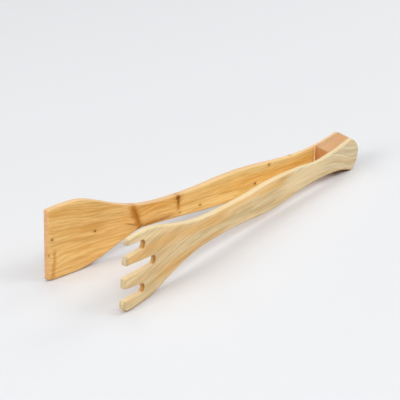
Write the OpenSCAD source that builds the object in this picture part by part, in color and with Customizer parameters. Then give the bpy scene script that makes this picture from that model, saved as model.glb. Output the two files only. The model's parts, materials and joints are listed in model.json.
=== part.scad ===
// Wooden serving tongs: a spatula arm and a fork arm, both cut from board, glued to a wedge
// block that holds them apart. The thin neck of each arm is the spring that opens the tongs.
// The tongs stand on edge, on the lower edges of both heads and of the butt, with the butt at +X.

/* [Arms] */
// Length of each arm, from the corners of the butt to the tip
arm_len = 321; // [300:1:340]
// Radius that softens the long edges
edge_r = 1.6; // [0.8:0.1:1.8]
// Thickness of an arm along its springy neck
neck_t = 3.8; // [3.7:0.1:4.6]
// Thickness of an arm at the grip
grip_t = 5.8; // [5:0.1:7]
// Thickness of an arm at its tip
tip_t = 4.8; // [4:0.1:6]
// Angle at which each arm leaves the block, in degrees
wedge_angle = 3.3; // [2:0.1:4]
// Further outward turn of each arm between the block and its tip, in degrees
tip_splay = 4.9; // [3:0.1:7]

/* [Butt and block] */
// Half-height of the butt at its corners
butt_h = 16; // [14:0.1:18]
// How far the round end stands out past the corners
butt_round = 12; // [6:0.5:13]
// How much further the lower corner of the butt reaches than the upper one
butt_skew = 3; // [0:0.5:4]
// How hollow the lower edge runs from the waist to the butt: the upper edge has 2
butt_hollow = 2.5; // [2:0.1:3]
// Distance between the arms at the butt's corners
butt_gap = 11; // [8:0.1:14]
// Length of the wedge block from the corners to its inner end
block_len = 31.5; // [26:0.5:38]
// Thickness of the glue in each joint
glue_t = 0.2; // [0.1:0.05:0.4]

/* [Grip outline] */
// Distance of the waist from the butt
waist_at = 56; // [50:1:70]
// Half-height of the waist
waist_h = 9.5; // [8:0.1:11]
// Distance of the grip's widest place from the butt
swell_at = 126; // [110:1:135]
// Half-height of the grip above the centre line
swell_up = 12.1; // [10:0.1:14]
// Half-height of the grip below the centre line
swell_low = 13.7; // [10:0.1:15]
// Slope of the floor line along the arms, with the heads deeper than the butt
floor_slope = 0.04; // [0.03:0.001:0.05]

/* [Spatula head] */
// Distance of the upper neck from the tip
spatula_neck_up_back = 127; // [100:1:140]
// Half-height of the upper neck
spatula_neck_up = 8.5; // [7:0.1:10]
// Distance of the lower neck from the tip
spatula_neck_low_back = 90; // [75:1:120]
// Half-height of the lower neck
spatula_neck_low = 9.8; // [7:0.1:11]
// Half-height of the blade above the centre line
spatula_blade_up = 29.6; // [24:0.1:32]
// Fall of the blade's upper edge from the widest place to the tip
spatula_tip_fall = 1.5; // [0.5:0.1:3]

/* [Fork head] */
// Distance of the upper neck from the tips
fork_neck_up_back = 155; // [120:1:160]
// Half-height of the upper neck
fork_neck_up = 10.5; // [8:0.1:12]
// Distance of the lower neck from the tips
fork_neck_low_back = 131; // [110:1:150]
// Half-height of the lower neck
fork_neck_low = 10.5; // [8:0.1:12]
// Half-height of the fork above the centre line
fork_head_up = 27.2; // [26:0.1:32]
// Fall of the fork's lower edge from its straight foot to the tips
fork_tip_fall = 3.4; // [0.5:0.1:4]
// Slant of the cut across the fork's tips, as run along the arm for its height
fork_tip_slant = 0.075; // [0:0.005:0.1]
// Radius of the closed end of each slot
slot_r = 3.6; // [2.5:0.1:4]
// Half-width of each slot at the tips
slot_mouth = 4.9; // [4:0.1:5.2]
// Length of the two outer slots
slot_side_len = 23.5; // [18:0.5:30]
// Length of the middle slot
slot_mid_len = 37; // [28:0.5:44]

/* [Hidden] */
$fn = 64;

// Where the heads are widest, counted from the tips, and how far they run straight on the floor
head_back = 24;
foot_len = 14;
// Share of the blade's fall that its lower edge has
blade_low_share = 0.6;
// Height at which the slanted cut across the fork's tips keeps the arm's length
slant_pivot = 5;
// Corner radius of the blade's tip and of the fork's outer tines
blade_corner_r = 2;
tine_corner_r = 1.8;
// Height of each slot at its closed end and at its mouth, and its length: sawn by eye
slots = [
    [17.3, 18.1, slot_side_len],
    [0.5, 2.9, slot_mid_len],
    [-16.7, -14.4, slot_side_len]
];
// How late each edge swells from its neck to its head: over 1 is late, under 1 is early
spatula_ease_up = 1.65;
spatula_ease_low = 0.8;
fork_ease_up = 2;
fork_ease_low = 1.6;
// Clearance that keeps the arms' heels from binding on the glue
heel_clear = 0.01;
// Smallest softening, left where an arm's edge is glued
sharp_r = 0.05;

// Points along each edge, round half of the butt's arc and round each corner of a tip
edge_n = 64;
arc_n = 8;
corner_n = 4;
// Steps round each softened edge
soften_n = 4;

pitch = atan(floor_slope);
head_at = arm_len - head_back;
low_corner = -butt_skew / 2;

spatula_up = [swell_up, spatula_neck_up, spatula_neck_up_back, spatula_ease_up, 2];
spatula_low = [swell_low, spatula_neck_low, spatula_neck_low_back, spatula_ease_low, butt_hollow];
fork_up = [swell_up, fork_neck_up, fork_neck_up_back, fork_ease_up, 2];
fork_low = [swell_low, fork_neck_low, fork_neck_low_back, fork_ease_low, butt_hollow];

function mix(a, b, v) = a + (b - a) * v;
function ease(v) = let (c = max(0, min(1, v))) c * c * (3 - 2 * c);
function unit(v) = v / norm(v);

// Half-height of the handle's flare, from the waist to the butt's corners and past them
function flare(u, hollow) = mix(waist_h, butt_h, pow(1 - u / waist_at, hollow));
function flare_up(u) = flare(u, 2);
function flare_low(u) = flare(u, butt_hollow);

// Depth of the floor below the centre line, at a distance u from the butt
function floor_depth(u) = flare_low(low_corner) + (u - low_corner) * floor_slope;

// Half-height of one edge of an arm. shape holds the swell, the neck, the neck's distance from
// the tip, how late the head swells and how hollow the flare at the butt is. head is the
// half-height that the edge swells to.
function edge_height(u, shape, head) =
    let (neck_at = arm_len - shape[2])
    u < waist_at ? flare(u, shape[4])
    : u < swell_at ? mix(waist_h, shape[0], ease((u - waist_at) / (swell_at - waist_at)))
    : u < neck_at ? mix(shape[0], shape[1], ease((u - swell_at) / (neck_at - swell_at)))
    : mix(shape[1], head, ease(pow(min(1, (u - neck_at) / (head_at - neck_at)), shape[3])));

// The upper edge falls away after its widest place, the lower edge after its straight foot
function upper_height(u, shape, head, fall) =
    edge_height(u, shape, head) - fall * pow(max(0, u - head_at) / head_back, 2);
function lower_height(u, shape, fall) =
    let (foot_end = head_at + foot_len, past = max(0, u - foot_end) / (arm_len - foot_end))
    edge_height(u, shape, floor_depth(u)) - fall * pow(past, 2);

// Plan of an arm: the inner face is flat along the block and then curves outward
function inner_y(u) =
    let (free = arm_len - block_len, v = max(0, u - block_len))
    butt_gap / 2 + u * tan(wedge_angle)
    + (tan(wedge_angle + tip_splay) - tan(wedge_angle)) * v * v / (2 * free);
function arm_t(u) =
    mix(neck_t, grip_t, ease((u - waist_at) / (swell_at - waist_at)))
    + (tip_t - grip_t) * ease((u - 1.5 * swell_at) / (arm_len - 1.5 * swell_at));
function outer_y(u) = inner_y(u) + arm_t(u);

// The round end of the butt, as one arc from its lower corner to its upper one
low_end = [low_corner, -flare_low(low_corner)];
up_end = [-low_corner, flare_up(-low_corner)];
half_chord = norm(up_end - low_end) / 2;
butt_radius = (half_chord * half_chord + butt_round * butt_round) / (2 * butt_round);
butt_half_angle = acos(1 - butt_round / butt_radius);
chord_tilt = atan2(up_end[0] - low_end[0], up_end[1] - low_end[1]);
butt_centre = (low_end + up_end) / 2
    + (butt_radius - butt_round) * [cos(chord_tilt), -sin(chord_tilt)];
function butt_point(v) =
    let (a = 180 - chord_tilt + v * butt_half_angle)
    butt_centre + butt_radius * [cos(a), sin(a)];

// Lower half of the butt's arc from its middle to its corner, and the upper half back again
butt_low = [for (i = [0 : arc_n - 1]) butt_point((i + 0.5) / arc_n)];
butt_up = [for (i = [arc_n - 1 : -1 : 0]) butt_point(-(i + 0.5) / arc_n)];

// Outline of an arm seen from its side, counter-clockwise from the middle of the butt
function arm_outline(up, low, head, up_fall, low_fall, corner_r) =
    let (
        last = arm_len - corner_r,
        tip_up = upper_height(arm_len, up, head, up_fall) - corner_r,
        tip_low = lower_height(arm_len, low, low_fall) - corner_r,
        low_u = [for (i = [0 : edge_n - 1]) mix(low_corner, last, i / edge_n)],
        up_u = [for (i = [edge_n - 1 : -1 : 0]) mix(-low_corner, last, i / edge_n)]
    )
    concat(
        butt_low,
        [for (u = low_u) [u, -lower_height(u, low, low_fall)]],
        [for (i = [0 : corner_n]) let (a = -90 + 90 * i / corner_n)
            [last, -tip_low] + corner_r * [cos(a), sin(a)]],
        [for (i = [0 : corner_n]) let (a = 90 * i / corner_n)
            [last, tip_up] + corner_r * [cos(a), sin(a)]],
        [for (u = up_u) [u, upper_height(u, up, head, up_fall)]],
        butt_up
    );

// Inward direction at a point of an outline
function inward(outline, j) =
    let (n = len(outline), along = outline[(j + 1) % n] - outline[(j + n - 1) % n])
    unit([-along[1], along[0]]);

// The inner edges stay sharp where they are glued and soften past the block
function inner_r(u) = mix(sharp_r, edge_r, ease((u - block_len) / block_len));

// One ring of an arm's rim: turn is 0 on a flat face and 90 on the edge itself
function rim_ring(outline, inner, turn) = [
    for (j = [0 : len(outline) - 1])
        let (
            r = inner ? inner_r(outline[j][0]) : edge_r,
            p = outline[j] + inward(outline, j) * r * (1 - sin(turn)),
            sunk = r * (1 - cos(turn))
        )
        [-p[0], inner ? inner_y(p[0]) + sunk : outer_y(p[0]) - sunk, p[1]]
];

// An arm on the +Y side, level, as a board with softened edges that follows the plan
module arm_board(outline) {
    n = len(outline);
    turns = [for (k = [0 : soften_n]) 90 * k / soften_n];
    rings = concat(
        [for (a = turns) rim_ring(outline, true, a)],
        [for (k = [soften_n : -1 : 0]) rim_ring(outline, false, turns[k])]
    );
    last = (len(rings) - 1) * n;
    rim = [
        for (k = [0 : len(rings) - 2], j = [0 : n - 1])
            let (a = k * n + j, b = k * n + (j + 1) % n)
            each [[a, b, b + n], [a, b + n, a + n]]
    ];
    inner_face = [
        for (i = [0 : n / 2 - 2])
            each [[i, n - 1 - i, n - 2 - i], [i, n - 2 - i, i + 1]]
    ];
    outer_face = [
        for (f = inner_face)
            [last + f[0], last + f[2], last + f[1]]
    ];
    polyhedron([for (ring = rings) each ring], concat(rim, inner_face, outer_face));
}

// Lays the level tongs on the floor, with the origin under the middle of the whole
module resting() {
    tip_reach = max([
        for (p = concat(spatula_outline, fork_outline))
            p[0] * cos(pitch) - p[1] * sin(pitch)
    ]);
    butt_reach = max([for (p = spatula_outline) -p[0] * cos(pitch) + p[1] * sin(pitch)]);
    floor_drop = flare_low(low_corner) * cos(pitch) + low_corner * -sin(pitch);
    translate([(tip_reach - butt_reach) / 2, 0, floor_drop]) rotate([0, pitch, 0]) children();
}

// The fork's outline with the aslant cut across its tips
function slanted(p) =
    let (run = fork_tip_slant * (slant_pivot - p[1]))
    [p[0] + run * ease((p[0] - head_at) / head_back), p[1]];

spatula_outline = arm_outline(
    spatula_up, spatula_low, spatula_blade_up,
    spatula_tip_fall, blade_low_share * spatula_tip_fall, blade_corner_r
);
fork_outline = [
    for (p = arm_outline(fork_up, fork_low, fork_head_up, 0, fork_tip_fall, tine_corner_r))
        slanted(p)
];

// Extrudes an outline drawn as distance from the butt and height, from y0 to y1
module across(y0, y1) {
    translate([0, y1, 0]) rotate([90, 0, 0]) linear_extrude(y1 - y0) mirror([1, 0]) children();
}

// One slot of the fork: a round closed end and sides that open towards the tips
module slot(closed_z, mouth_z, slot_len) {
    closed = arm_len - slot_len + slot_r;
    past = arm_len + slot_r;
    translate([closed, closed_z]) circle(slot_r);
    polygon([
        [closed, closed_z - slot_r],
        [past, mouth_z - slot_mouth],
        [past, mouth_z + slot_mouth],
        [closed, closed_z + slot_r]
    ]);
}

module fork_slots() {
    across(-2 * outer_y(arm_len), 0) {
        for (s = slots) slot(s[0], s[1], s[2]);
    }
}

// The butt's outline as far as the block's inner end, shared by the block and the glue
function heel_outline() =
    let (
        u_low = [for (i = [0 : arc_n]) mix(low_corner, block_len, i / arc_n)],
        u_up = [for (i = [arc_n : -1 : 0]) mix(-low_corner, block_len, i / arc_n)]
    )
    concat(
        butt_low,
        [for (u = u_low) [u, -flare_low(u)]],
        [for (u = u_up) [u, flare_up(u)]],
        butt_up
    );

// A strip of the wedge in plan, between two offsets from the arms' inner faces
module wedge_slice(from, to) {
    reach = 2 * butt_round;
    linear_extrude(4 * butt_h, center = true) polygon([
        [reach, from(-reach)],
        [-block_len, from(block_len)],
        [-block_len, to(block_len)],
        [reach, to(-reach)]
    ]);
}

module glue_film() {
    intersection() {
        across(0, 2 * butt_gap) polygon(heel_outline());
        wedge_slice(function (u) inner_y(u) - glue_t, function (u) inner_y(u) - heel_clear);
    }
}

module spatula_arm() {
    color([0.89, 0.69, 0.42]) resting() arm_board(spatula_outline);
}

module fork_arm() {
    color([0.86, 0.76, 0.58]) resting() difference() {
        mirror([0, 1, 0]) arm_board(fork_outline);
        fork_slots();
    }
}

module wedge_block() {
    color([0.85, 0.63, 0.43]) resting() intersection() {
        across(-2 * butt_gap, 2 * butt_gap) polygon(heel_outline());
        wedge_slice(function (u) glue_t - inner_y(u), function (u) inner_y(u) - glue_t);
    }
}

module spatula_glue_line() {
    color([0.5, 0.33, 0.17]) resting() glue_film();
}

module fork_glue_line() {
    color([0.5, 0.33, 0.17]) resting() mirror([0, 1, 0]) glue_film();
}

spatula_arm();
fork_arm();
wedge_block();
spatula_glue_line();
fork_glue_line();
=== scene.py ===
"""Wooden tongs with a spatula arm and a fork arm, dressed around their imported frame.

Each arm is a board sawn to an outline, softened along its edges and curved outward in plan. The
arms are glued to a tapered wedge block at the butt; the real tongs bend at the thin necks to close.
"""
import json
import logging
import math
from dataclasses import dataclass, field
from enum import Enum
from typing import Iterable, Mapping, Optional, Sequence, Union

import bmesh
import bpy
import numpy as np
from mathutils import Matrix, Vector
from mathutils.geometry import delaunay_2d_cdt


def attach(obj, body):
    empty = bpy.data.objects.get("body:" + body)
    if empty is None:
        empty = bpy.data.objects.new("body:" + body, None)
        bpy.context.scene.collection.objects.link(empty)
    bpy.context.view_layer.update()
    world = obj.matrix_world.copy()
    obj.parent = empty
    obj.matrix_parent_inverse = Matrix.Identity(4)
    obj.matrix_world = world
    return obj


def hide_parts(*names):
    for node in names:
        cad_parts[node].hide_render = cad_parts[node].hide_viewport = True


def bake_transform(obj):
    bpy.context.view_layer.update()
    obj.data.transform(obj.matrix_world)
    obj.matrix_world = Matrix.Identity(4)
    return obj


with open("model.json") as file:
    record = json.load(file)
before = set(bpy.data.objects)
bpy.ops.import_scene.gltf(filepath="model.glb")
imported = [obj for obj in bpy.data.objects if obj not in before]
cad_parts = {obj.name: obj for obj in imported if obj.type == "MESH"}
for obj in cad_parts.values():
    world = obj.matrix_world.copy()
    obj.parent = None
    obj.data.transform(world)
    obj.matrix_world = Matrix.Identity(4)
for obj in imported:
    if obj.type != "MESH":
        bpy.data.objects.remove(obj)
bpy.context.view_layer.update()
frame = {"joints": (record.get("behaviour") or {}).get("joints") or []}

LOG = logging.getLogger("tongs")
MM = 0.001
QUARTER = math.pi / 2
Material = bpy.types.Material
Piece = bpy.types.Object
Socket = bpy.types.NodeSocket
Tree = bpy.types.NodeTree
Value = Union[float, int, bool, str, Sequence[float], Socket, Material]
Values = Mapping[Union[str, int], Value]
Outputs = bpy.types.NodeOutputs
Point = tuple[float, float]
Colour = tuple[float, float, float, float]
Numbers = Union[float, np.ndarray]


class Side(Enum):
    """The side of the tongs that an arm stands on."""

    REAR = 1.0
    FRONT = -1.0


class Coat(Enum):
    """How a coat of colour lies on what is under it."""

    COVER = "MIX"
    TINT = "MULTIPLY"


class Kind(Enum):
    """What a node group's socket carries."""

    FLOAT = "NodeSocketFloat"
    VECTOR = "NodeSocketVector"
    GEOMETRY = "NodeSocketGeometry"
    MATERIAL = "NodeSocketMaterial"


def ease(value: float) -> float:
    """Smooth step from 0 to 1."""
    c = min(1.0, max(0.0, value))
    return c * c * (3.0 - 2.0 * c)


def mix(a: float, b: float, share: float) -> float:
    """Value between a and b."""
    return a + (b - a) * share


def srgb(*channels: int) -> Colour:
    """Linear colour of a screen colour's red, green and blue from 0 to 255, with a full alpha."""
    shares = [channel / 255.0 for channel in channels]
    return *(c / 12.92 if c <= 0.04045 else ((c + 0.055) / 1.055) ** 2.4 for c in shares), 1.0


def arc(centre: Sequence[float], radius: float, start: float, sweep: float, count: int) -> list[Point]:
    """Points along an arc, from a start angle through a sweep, with both ends."""
    angles = [start + sweep * i / count for i in range(count + 1)]
    return [(centre[0] + radius * math.cos(a), centre[1] + radius * math.sin(a)) for a in angles]


def new_object(name: str, data: bpy.types.ID) -> Piece:
    """Make an object of a mesh, a lamp or a camera and link it to the scene."""
    made = bpy.data.objects.new(name, data)
    bpy.context.scene.collection.objects.link(made)
    return made


def new_material(name: str) -> Material:
    """Make a material with an empty node tree."""
    material = bpy.data.materials.new(name)
    material.use_nodes = True
    material.node_tree.nodes.clear()
    return material


class TreePen:
    """Draws nodes into one node tree and links them."""

    entry: Outputs
    exit: bpy.types.NodeInputs

    def __init__(self, tree: Tree) -> None:
        """Start drawing in a tree."""
        self.tree = tree

    @classmethod
    def group(
        cls, name: str, tree_type: str, inputs: Mapping[str, Kind], outputs: Mapping[str, Kind]
    ) -> "TreePen":
        """Make a node group with named sockets.

        Args:
            name: Name of the group.
            tree_type: GeometryNodeTree or ShaderNodeTree.
            inputs: What each input carries, by name.
            outputs: What each output carries, by name.

        Returns:
            A pen on the new group, with its group input and output placed.
        """
        tree = bpy.data.node_groups.new(name, tree_type)
        for in_out, sockets in (("INPUT", inputs), ("OUTPUT", outputs)):
            for label, kind in sockets.items():
                tree.interface.new_socket(label, in_out=in_out, socket_type=kind.value)
        pen = cls(tree)
        pen.entry = tree.nodes.new("NodeGroupInput").outputs
        pen.exit = tree.nodes.new("NodeGroupOutput").inputs
        return pen

    def feed(self, socket: Socket, value: Value) -> None:
        """Link an output to a socket, or set the socket's own value."""
        if isinstance(value, Socket):
            self.tree.links.new(value, socket)
        else:
            socket.default_value = value

    def put(self, node_type: str, values: Optional[Values] = None, **settings: object) -> bpy.types.Node:
        """Place a node.

        Args:
            node_type: The node's type name.
            values: What goes into its sockets, by name or number.
            settings: Its properties.

        Returns:
            The placed node.
        """
        node = self.tree.nodes.new(node_type)
        for name, setting in settings.items():
            setattr(node, name, setting)
        for key, value in (values or {}).items():
            self.feed(node.inputs[key], value)
        return node

    def out(self, node_type: str, values: Optional[Values] = None, **settings: object) -> Socket:
        """First output of a node that is placed."""
        return self.put(node_type, values, **settings).outputs[0]

    def math(self, operation: str, *values: Value, clamp: bool = False) -> Socket:
        """Result of a Math node on one to three values."""
        inputs = dict(enumerate(values))
        return self.out("ShaderNodeMath", inputs, operation=operation, use_clamp=clamp)

    def times(self, first: Value, second: Value) -> Socket:
        """Product of two numbers."""
        return self.math("MULTIPLY", first, second)

    def around_one(self, value: Value, swing: float) -> Socket:
        """A value from 0 to 1 turned into a factor that swings round 1."""
        return self.math("MULTIPLY_ADD", value, swing, 1.0 - swing / 2)

    def vector(self, operation: str, *values: Value, output: str = "Vector") -> Socket:
        """Result of a Vector Math node."""
        inputs = dict(enumerate(values))
        return self.put("ShaderNodeVectorMath", inputs, operation=operation).outputs[output]

    def length(self, value: Value) -> Socket:
        """Length of a vector."""
        return self.vector("LENGTH", value, output="Value")

    def dot(self, first: Value, second: Value) -> Socket:
        """Dot product of two vectors."""
        return self.vector("DOT_PRODUCT", first, second, output="Value")

    def scale(self, value: Value, factor: Value) -> Socket:
        """A vector times a number."""
        return self.out("ShaderNodeVectorMath", {0: value, "Scale": factor}, operation="SCALE")

    def split(self, value: Value) -> tuple[Socket, ...]:
        """The three parts of a vector."""
        return tuple(self.put("ShaderNodeSeparateXYZ", {0: value}).outputs)

    def join(self, x: Value, y: Value, z: Value) -> Socket:
        """A vector of three parts."""
        return self.out("ShaderNodeCombineXYZ", {0: x, 1: y, 2: z})

    def step(self, value: Value, start: Value, end: Value, low: Value = 0.0, high: Value = 1.0) -> Socket:
        """Smooth step of a value, from low before the start to high after the end."""
        inputs = {"Value": value, "From Min": start, "From Max": end, "To Min": low, "To Max": high}
        return self.out("ShaderNodeMapRange", inputs, interpolation_type="SMOOTHSTEP")

    def fade(self, value: Value, start: Value, end: Value) -> Socket:
        """Smooth step down from 1 to 0."""
        return self.step(value, start, end, 1.0, 0.0)

    def blend(self, share: Value, under: Value, over: Value, coat: Coat = Coat.COVER) -> Socket:
        """Colour of one coat on another, as far as a mask says."""
        factor, first, second, result = 0, 6, 7, 2
        values = {factor: share, first: under, second: over}
        return self.put("ShaderNodeMix", values, data_type="RGBA", blend_type=coat.value).outputs[result]

    def noise(self, place: Value, scale: float, detail: float = 2.0, rough: float = 0.5) -> Socket:
        """Noise between 0 and 1 at a place."""
        inputs = {"Vector": place, "Scale": scale, "Detail": detail, "Roughness": rough}
        return self.out("ShaderNodeTexNoise", inputs)

    def drawn(self, grain: Value, waves: Value, detail: float = 2.0, rough: float = 0.5) -> Socket:
        """Noise drawn out along the grain, with its waves per metre along, through and up the board."""
        return self.noise(self.vector("MULTIPLY", grain, waves), 1.0, detail, rough)

    def attribute(self, name: str, output: str = "Fac") -> Socket:
        """A value that the mesh holds."""
        return self.put("ShaderNodeAttribute", attribute_name=name).outputs[output]

    def use(self, group: Tree, values: Values) -> Outputs:
        """Outputs of a node group that is placed in a shader tree."""
        return self.put("ShaderNodeGroup", values, node_tree=group).outputs

    def end_shape(self, geometry: Socket) -> None:
        """Make a shape real, give it its material and hand it out of its geometry tree."""
        real = self.out("GeometryNodeRealizeInstances", {"Geometry": geometry})
        values = {"Geometry": real, "Material": self.entry["Material"]}
        self.feed(self.exit["Geometry"], self.out("GeometryNodeSetMaterial", values))

    def end_surface(self, values: Values) -> None:
        """Give a material its Principled surface."""
        shader = self.out("ShaderNodeBsdfPrincipled", values)
        self.put("ShaderNodeOutputMaterial", {"Surface": shader})


@dataclass(frozen=True)
class HandleSizes:
    """Sizes that both arms share, in metres and radians, counted from the butt's corners."""

    length: float = 0.321
    edge_radius: float = 0.0016
    seam_radius: float = 0.00012
    neck_thickness: float = 0.0038
    grip_thickness: float = 0.0058
    tip_thickness: float = 0.0048
    wedge_angle: float = math.radians(3.3)
    splay: float = math.radians(4.9)
    butt_height: float = 0.016
    butt_round: float = 0.012
    butt_skew: float = 0.003
    butt_low: float = 0.01644
    butt_hollow: float = 3.2
    butt_gap: float = 0.011
    butt_steps: int = 40
    front_dip: float = 0.0021
    block_length: float = 0.0315
    glue_thickness: float = 0.0002
    waist_at: float = 0.056
    waist_height: float = 0.0095
    swell_at: float = 0.126
    swell_up: float = 0.0121
    swell_low: float = 0.0137
    head_back: float = 0.024
    foot_length: float = 0.014

    @property
    def head_at(self) -> float:
        """Where the heads are widest."""
        return self.length - self.head_back

    @property
    def low_corner(self) -> float:
        """Place of the butt's lower corner along the arm."""
        return -self.butt_skew / 2

    @property
    def wedge_slope(self) -> float:
        """Slope of an arm's inner face along the block."""
        return math.tan(self.wedge_angle)

    @property
    def tip_slope(self) -> float:
        """Slope of an arm's inner face at the tip."""
        return math.tan(self.wedge_angle + self.splay)

    def flare(self, u: float) -> float:
        """Height of the upper edge between the waist and the butt."""
        return mix(self.waist_height, self.butt_height, (1 - u / self.waist_at) ** 2)

    def flare_low(self, u: float) -> float:
        """Depth of the lower edge between the waist and the butt, which is hollower."""
        share = (self.waist_at - u) / (self.waist_at - self.low_corner)
        return mix(self.waist_height, self.butt_low, share**self.butt_hollow)

    def inner_y(self, u: float) -> float:
        """Distance of an arm's inner face from the middle plane."""
        past = max(0.0, u - self.block_length)
        bend = (self.tip_slope - self.wedge_slope) / (2 * (self.length - self.block_length))
        return self.butt_gap / 2 + u * self.wedge_slope + bend * past**2

    def butt_arc(self) -> list[Point]:
        """The butt's round end.

        Returns:
            Points from the upper corner to the lower one, without the corners.
        """
        low = np.array([self.low_corner, -self.flare_low(self.low_corner)])
        up = np.array([-self.low_corner, self.flare(-self.low_corner)])
        half = np.linalg.norm(up - low) / 2
        radius = (half**2 + self.butt_round**2) / (2 * self.butt_round)
        opening = math.acos(1 - self.butt_round / radius)
        tilt = math.atan2(up[0] - low[0], up[1] - low[1])
        inward = np.array([math.cos(tilt), -math.sin(tilt)])
        centre = (low + up) / 2 + (radius - self.butt_round) * inward
        return arc(centre, radius, math.pi - tilt - opening, 2 * opening, self.butt_steps)[1:-1]


@dataclass(frozen=True)
class Rest:
    """How the level tongs lie on the floor, read from the arms' hinges in the frame."""

    pitch: float
    place: Vector

    @classmethod
    def from_frame(cls, sizes: HandleSizes) -> "Rest":
        """Read the tilt and the place from the spatula's hinge.

        Args:
            sizes: Sizes of the handles.

        Returns:
            The tilt about Y, and where the butt's centre line starts.
        """
        hinge = next(j for j in frame["joints"] if j["child"] == "spatula")
        axis = hinge["axis"]
        pitch = math.atan2(axis[0], axis[2])
        x, _, z = hinge["pos_m"]
        run = sizes.block_length
        return cls(pitch, Vector((x + run * math.cos(pitch), 0.0, z - run * math.sin(pitch))))

    def point(self, u: float, y: float, z: float) -> Vector:
        """Place in the frame of a point given along, across and above the centre line."""
        c, s = math.cos(self.pitch), math.sin(self.pitch)
        return self.place + Vector((-u * c + z * s, y, u * s + z * c))


@dataclass(frozen=True)
class EdgeShape:
    """One edge of an arm: its swell, its neck, and how it swells to the head and falls to the tip."""

    swell: float
    neck: float
    neck_back: float
    lateness: float
    fall: float
    is_lower: bool = False


@dataclass(frozen=True)
class Slot:
    """A slot between two tines: heights of its middle at the closed end and the tips, and its length."""

    root_height: float
    mouth_height: float
    length: float
    root_radius: float = 0.0036
    mouth_half: float = 0.0049
    root_steps: int = 16


@dataclass
class Outline:
    """Outline of a board in its own plane, counter-clockwise, with the softness of its edge.

    bored is 1 where the wall was bored and 0 where it was sawn and sanded.
    """

    points: list[Point] = field(default_factory=list)
    soft: list[float] = field(default_factory=list)
    bored: list[float] = field(default_factory=list)

    def add(self, points: Iterable[Point], soft: float, bored: Sequence[float] = ()) -> None:
        """Append points that share one edge radius."""
        for i, point in enumerate(points):
            self.points.append(point)
            self.soft.append(soft)
            self.bored.append(bored[i] if bored else 0.0)

    def even(self, step: float) -> "Outline":
        """The same outline with long stretches divided.

        Args:
            step: Longest stretch that is left.

        Returns:
            A new outline with added points.
        """
        made = Outline()
        count = len(self.points)
        for i in range(count):
            after = (i + 1) % count
            a, b = np.array(self.points[i]), np.array(self.points[after])
            parts = max(1, math.ceil(np.linalg.norm(b - a) / step))
            for k in range(parts):
                share = k / parts
                made.points.append(tuple(a + (b - a) * share))
                made.soft.append(mix(self.soft[i], self.soft[after], share))
                made.bored.append(mix(self.bored[i], self.bored[after], share))
        return made


def corner_arc(before: Point, corner: Point, after: Point, radius: float, count: int = 5) -> list[Point]:
    """Round off a corner.

    Args:
        before: A point on the way to the corner.
        corner: The corner.
        after: A point on the way out of it.
        radius: Radius of the rounding.
        count: Steps round the arc.

    Returns:
        Points round the corner.
    """
    c = np.array(corner)
    way_in = (np.array(before) - c) / np.linalg.norm(np.array(before) - c)
    way_out = (np.array(after) - c) / np.linalg.norm(np.array(after) - c)
    half = math.acos(float(np.clip(way_in @ way_out, -1, 1))) / 2
    middle = c + (way_in + way_out) / np.linalg.norm(way_in + way_out) * radius / math.sin(half)
    first = c + way_in * radius / math.tan(half) - middle
    last = c + way_out * radius / math.tan(half) - middle
    turn = math.atan2(first[0] * last[1] - first[1] * last[0], first @ last)
    return arc(middle, radius, math.atan2(first[1], first[0]), turn, count)


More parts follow.
